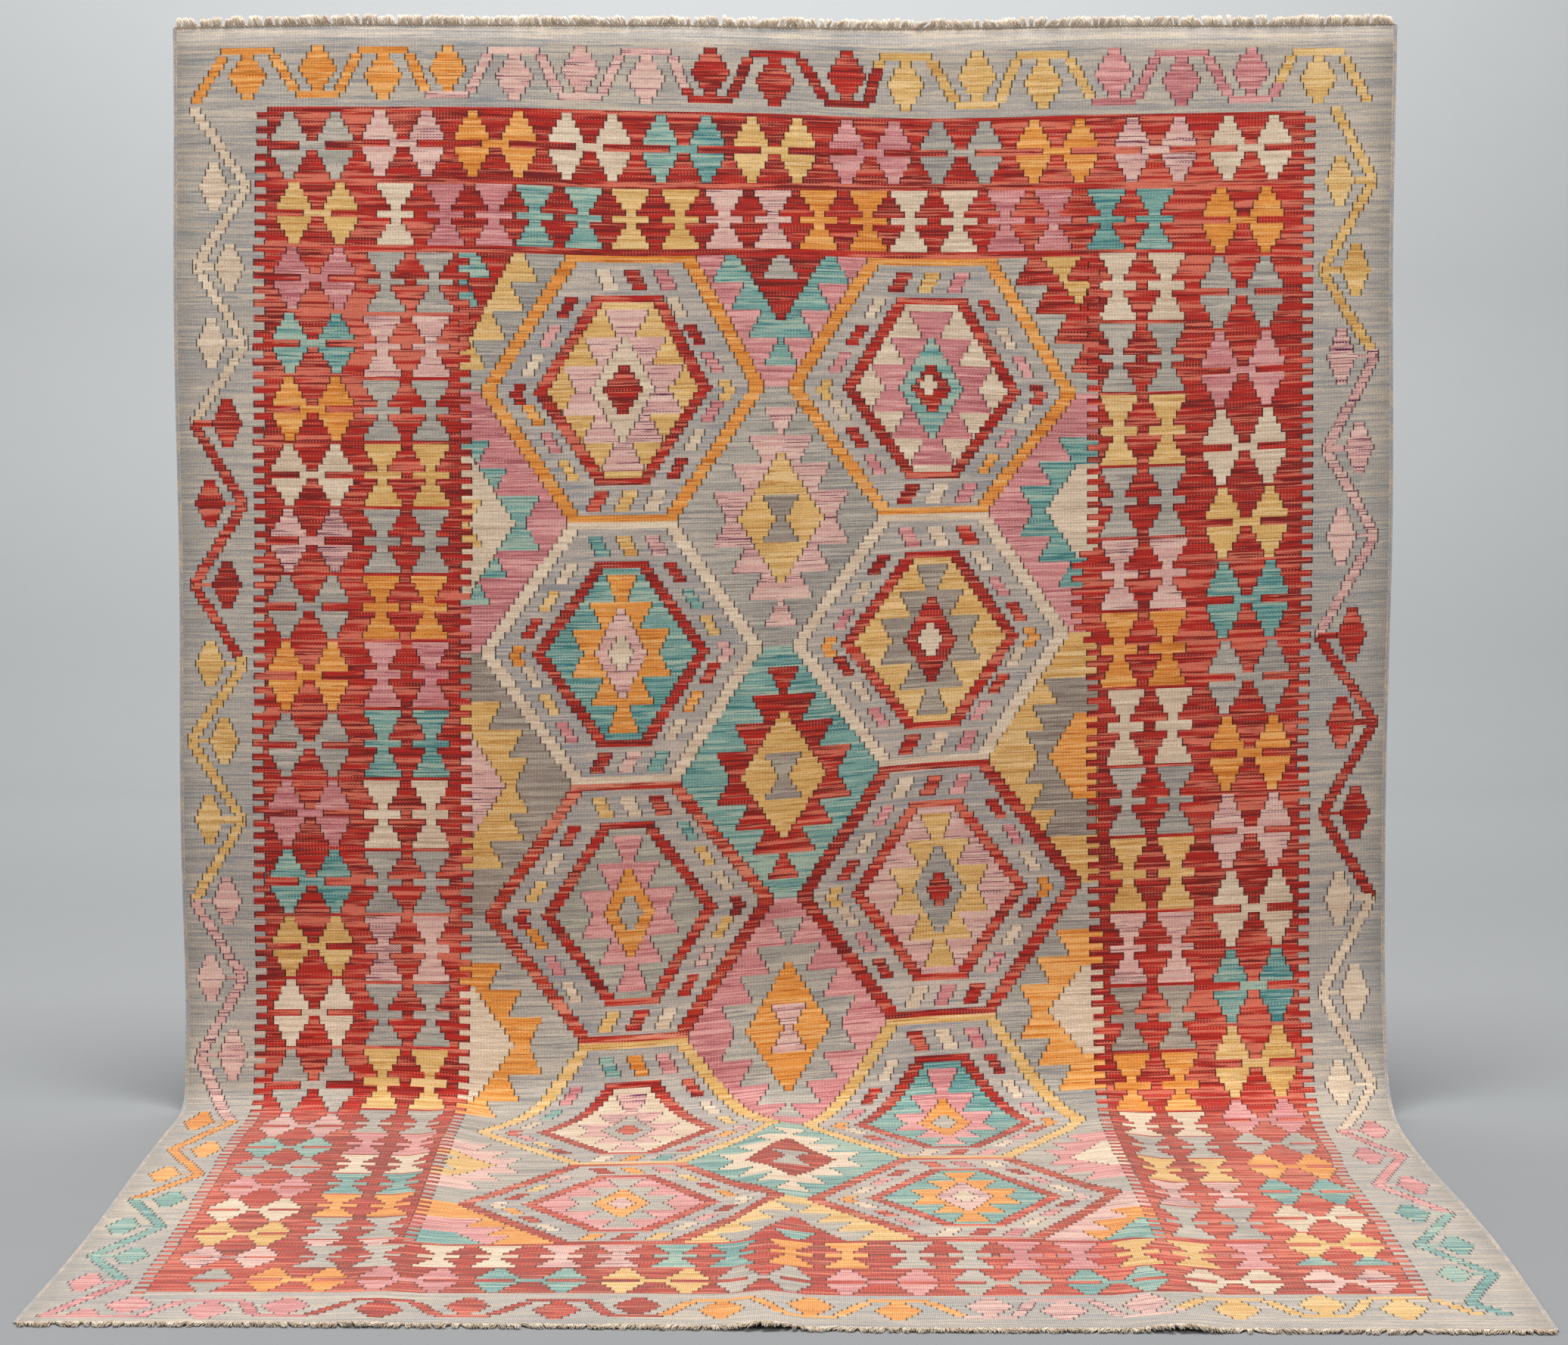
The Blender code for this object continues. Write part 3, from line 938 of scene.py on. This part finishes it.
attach(cloth, "root")
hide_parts("kilim_cloth")


# --------------------------------------
# Selvedges: the outermost warps are bundled and wrapped by the turning weft, which makes
# two thick ribs down each side of the rug.
BUNDLE_RADIUS = 0.0017
BUNDLE_PLACES = (0.0008, 0.0040)  # in from the edge
WRAP_PITCH = 0.0045
WRAP_DEPTH = 0.14
WRAP_OFFSET = 900  # so that the two ribs aren't in step
BUNDLE_SIDES = 8


def add_tubes(name, tubes, material, inside_out=False):
    """A piece of closed tubes, from the side, along and lift of each tube's rings of corners."""
    side, along, lift = np.moveaxis(np.array(tubes), 1, 0)
    points = place(side, along, np.maximum(lift, 0.0)).reshape(-1, 3)
    _, rings, sides = side.shape
    faces = []
    for first in range(0, len(points), rings * sides):
        for a in range(first, first + (rings - 1) * sides, sides):
            for i in range(sides):
                j = (i + 1) % sides
                faces.append((a + i, a + j, a + sides + j, a + sides + i))
        faces.append(tuple(range(first, first + sides))[::-1])
        faces.append(tuple(range(first + (rings - 1) * sides, first + rings * sides)))
    if inside_out:
        faces = [face[::-1] for face in faces]
    piece_mesh = bpy.data.meshes.new(name)
    piece_mesh.from_pydata(points.tolist(), [], faces)
    piece_mesh.shade_smooth()
    piece_mesh.materials.append(material)
    piece = add_object(name, piece_mesh)
    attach(piece, "root")
    return piece


wrapped = Nodes("wrapped_selvedge")
fine = wrapped.noise(wrapped.spot(), 420.0, 2.0)
patch = wrapped.ramp(wrapped.noise(wrapped.spot(), 34.0, 2.0), 0.40, 0.62)
wrap_colour = wrapped.blend(patch, linear((60, 59, 57.5)), linear((72, 65, 56)))
wrap_colour = wrapped.blend(wrapped.ramp(fine, 0.35, 0.75), wrap_colour, linear((47, 48, 51)))
wrapped.wool(wrap_colour, 0.94)
wrapped.bump(fine, 0.0006, 0.5)
bundle = np.arange(0.0, LENGTH, WRAP_PITCH / 3)[:, None]
for side_name, side_sign in (("left", -1), ("right", 1)):
    tubes = []
    turn = np.linspace(0, math.tau, BUNDLE_SIDES, endpoint=False) * -side_sign
    for inset in BUNDLE_PLACES:
        wrap = np.sin(math.tau * bundle / WRAP_PITCH + inset * WRAP_OFFSET)
        radius = BUNDLE_RADIUS * (1 + WRAP_DEPTH * wrap)
        side = side_sign * (1 + (radius * np.cos(turn) - inset) / HALF_WIDTH)
        lift = THICKNESS / 2 + 0.0003 + radius * np.sin(turn)
        tubes.append(np.broadcast_arrays(side, with_end_wave(side_sign, bundle), lift))
    add_tubes("selvedge_" + side_name, tubes, wrapped.material)


# --------------------------------------
# Twined ends: past the last pick the warps are locked by two undyed strands twisted round
# each other from side to side, which show as a row of small beads under the fringe.
STRAND_RADIUS = 0.0010
TWINE_RADIUS = 0.0010
TWINE_PITCH = 0.0130
TWINE_STEPS = 14
TWINE_SIDES = 6
TWINE_PAST = 0.0004  # past the cloth's end
TWINE_LIFT = THICKNESS / 2 + 0.0006


def undyed_wool(name, body, pale, deep, grain):
    """Hand-spun warp wool in its natural colours, each strand in its own shade."""
    made = Nodes(name)
    fine = made.noise(made.spot(), grain, 2.0)
    patch = made.noise(made.spot(), 26.0, 1.0)
    tone = made.scale(made.attribute("shade"), 0.6, made.scale(patch, 0.4))
    colour = made.blend(made.ramp(tone, 0.25, 0.80), linear(deep), linear(pale))
    colour = made.blend(made.ramp(fine, 0.30, 0.75), colour, linear(body))
    made.wool(colour, 0.93)
    made.bump(fine, 0.0004, 0.5)
    return made.material


twine_wool = undyed_wool("twined_warp_wool", (76, 69, 60), (84, 78, 70), (62, 54, 46), 700.0)
twine_rings = round(2 * HALF_WIDTH / TWINE_PITCH * TWINE_STEPS)
travel = np.linspace(-0.998, 0.998, twine_rings)[:, None]
turn = np.linspace(0, math.tau, TWINE_SIDES, endpoint=False)
for end_name, edge, outward in (("top", 0.0, -1), ("bottom", LENGTH, 1)):
    tubes = []
    for strand in range(2):
        swing = np.arange(twine_rings)[:, None] / TWINE_STEPS * math.tau + strand * math.pi
        past = TWINE_PAST + TWINE_RADIUS * np.cos(swing) + STRAND_RADIUS * np.cos(turn)
        lift = TWINE_LIFT + TWINE_RADIUS * np.sin(swing) + STRAND_RADIUS * np.sin(turn)
        tubes.append(np.broadcast_arrays(travel, edge + outward * past + end_wave(travel), lift))
    add_tubes("twined_row_" + end_name, tubes, twine_wool, outward < 0)


# --------------------------------------
# Fringe: the warp ends, cut short in tufts of three or four, each a small splayed brush of
# undyed wool that leans its own way.
TUFTS = 210
HAIRS = 28
HAIR_RINGS = 5
HAIR_SIDES = 3
HAIR_RADIUS = 0.00075
TUFT_LENGTH = 0.0180
TUFT_ROOT = 0.0034
TUFT_SPREAD = 0.0066
TUFT_JITTER = 0.0015  # sideways, as a share of half the rug
LEAN_KEPT = 0.55  # how much of its neighbour's lean a tuft takes over
LEAN_DRAWN = 0.0045
KNOCKED_SHARE = 0.08  # of the tufts, knocked well aside
KNOCKED_LEAN = 0.008
HAIR_RISE = 0.0035
HAIR_BOW = 0.0016


def make_fringe(end_name, edge, outward, seed):
    draw = random.Random(seed)
    turn = np.linspace(0, math.tau, HAIR_SIDES, endpoint=False)
    share = np.linspace(0, 1, HAIR_RINGS)[:, None]
    bow = np.sin(share * math.pi)
    radius = HAIR_RADIUS * (1.15 - 0.55 * share ** 2)
    tubes = []
    shades = []
    lean = 0.0
    for tuft in range(TUFTS):
        centre = -0.995 + 1.99 * (tuft + 0.5) / TUFTS + draw.uniform(-TUFT_JITTER, TUFT_JITTER)
        lean = LEAN_KEPT * lean + draw.uniform(-LEAN_DRAWN, LEAN_DRAWN)
        if draw.random() < KNOCKED_SHARE:
            lean += draw.choice((-1, 1)) * KNOCKED_LEAN
        tuft_length = TUFT_LENGTH * draw.uniform(0.78, 1.05)
        upright = math.sqrt(max(1 - (lean / tuft_length) ** 2, 0.3))
        tuft_tone = draw.uniform(0.1, 0.9)
        plump = draw.uniform(0.7, 1.1)
        for hair in range(HAIRS):
            root = draw.uniform(-1, 1) * TUFT_ROOT * plump
            root_lift = draw.uniform(0.2, 1.0) * THICKNESS
            tip = root / TUFT_ROOT * TUFT_SPREAD * draw.uniform(0.6, 1.1) * plump
            reach = tuft_length * draw.uniform(0.72, 1.0) * upright
            rise = draw.uniform(-0.3, 1.0) * HAIR_RISE
            curl = draw.uniform(-1, 1) * HAIR_BOW
            across = root + (tip - root) * share + lean * share ** 1.3 + curl * bow
            side = centre + (across + radius * np.cos(turn)) / HALF_WIDTH
            side = np.clip(side, -1.004, 1.004)
            past = -0.0005 + reach * share ** 0.9
            lift = root_lift + rise * share + HAIR_BOW * bow + radius * np.sin(turn)
            tubes.append((side, edge + outward * past + end_wave(side), lift))
            tone = min(max(tuft_tone + draw.uniform(-0.3, 0.3), 0), 1)
            shades += [tone] * lift.size
    fringe = add_tubes("fringe_tufts_" + end_name, tubes, fringe_wool, outward < 0)
    shade_layer = fringe.data.attributes.new("shade", "FLOAT", "POINT")
    shade_layer.data.foreach_set("value", np.array(shades, dtype=np.float32))
    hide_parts("fringe_" + end_name)
    return fringe


fringe_wool = undyed_wool("cut_warp_wool", (80, 73, 65), (91, 86, 79), (64, 56, 48), 500.0)
fringes = [make_fringe("top", 0.0, -1, 3), make_fringe("bottom", LENGTH, 1, 8)]


# --------------------------------------
# Studio: a pale sweep that curves up well behind the rug, broad soft lights on both sides,
# one high over the floor and one over the backdrop.
SWEEP_HALF_WIDTH = 14.0
SWEEP_FRONT = -14.0
SWEEP_FOOT = 4.60  # where the floor starts to curve up
SWEEP_RADIUS = 1.6
SWEEP_TOP = 6.0
profile = [(SWEEP_FRONT, 0.0)]
for i in range(25):
    angle = i / 24 * math.pi / 2
    profile.append((SWEEP_FOOT + SWEEP_RADIUS * math.sin(angle), SWEEP_RADIUS * (1 - math.cos(angle))))
profile.append((SWEEP_FOOT + SWEEP_RADIUS, SWEEP_TOP))
sweep_points = [(x, y, z) for y, z in profile for x in (-SWEEP_HALF_WIDTH, SWEEP_HALF_WIDTH)]
sweep_faces = [(2 * i, 2 * i + 1, 2 * i + 3, 2 * i + 2) for i in range(len(profile) - 1)]
sweep_mesh = bpy.data.meshes.new("sweep")
sweep_mesh.from_pydata(sweep_points, [], sweep_faces)
sweep_mesh.shade_smooth()


def cool(grey):
    return linear((grey - 0.7, grey, grey + 0.4))


# Painted light: the paper is painted paler where it runs back and up, where less lamp light reaches it.
paper = Nodes("pale_paper")
_, depth, rise = paper.split(paper.spot())
reach = paper.math("ADD", depth, rise)
tone = cool(49.9)
for low, high, grey in ((0.2, 1.2, 53.7), (2.4, 4.8, 58.8), (5.8, 8.0, 66.7)):
    tone = paper.blend(paper.ramp(reach, low, high), tone, cool(grey))
grain = paper.scale(paper.noise(paper.spot(), 9.0, 3.0), 0.03, 0.985)
paper.put(paper.shader.inputs["Base Color"], paper.shaded(tone, grain))
paper.shader.inputs["Roughness"].default_value = 0.9
paper.shader.inputs["Specular IOR Level"].default_value = 0.1
sweep_mesh.materials.append(paper.material)
sweep = add_object("sweep", sweep_mesh)


def soft_light(name, place_at, aim, size, power, colour=(1, 1, 1)):
    light = bpy.data.lights.new(name, "AREA")
    light.shape = "RECTANGLE"
    light.size, light.size_y = size
    light.energy = power
    light.color = colour
    holder = add_object(name, light)
    holder.location = place_at
    direction = np.array(aim) - np.array(place_at)
    flat = math.hypot(direction[0], direction[1])
    holder.rotation_euler = (math.atan2(flat, -direction[2]), 0, math.atan2(-direction[0], direction[1]))


soft_light("left_bank", (-3.4, -3.2, 2.3), (0, 0.3, 0.9), (2.6, 2.0), 92, (1.0, 0.99, 0.97))
soft_light("right_bank", (3.4, -3.2, 2.3), (0, 0.3, 0.9), (2.6, 2.0), 74, (1.0, 0.99, 0.97))
soft_light("over_backdrop", (-0.35, 3.4, 5.2), (-0.35, 6.2, 0.8), (6.0, 1.6), 300)
soft_light("over_floor", (0.0, -0.6, 6.0), (0, -0.4, 0.0), (4.0, 2.0), 515)
world = bpy.data.worlds.new("studio")
world.use_nodes = True
background = world.node_tree.nodes["Background"]
background.inputs["Color"].default_value = (0.93, 0.96, 1.0, 1)
background.inputs["Strength"].default_value = 0.285
bpy.context.scene.world = world
bpy.context.scene.view_settings.view_transform = "Standard"
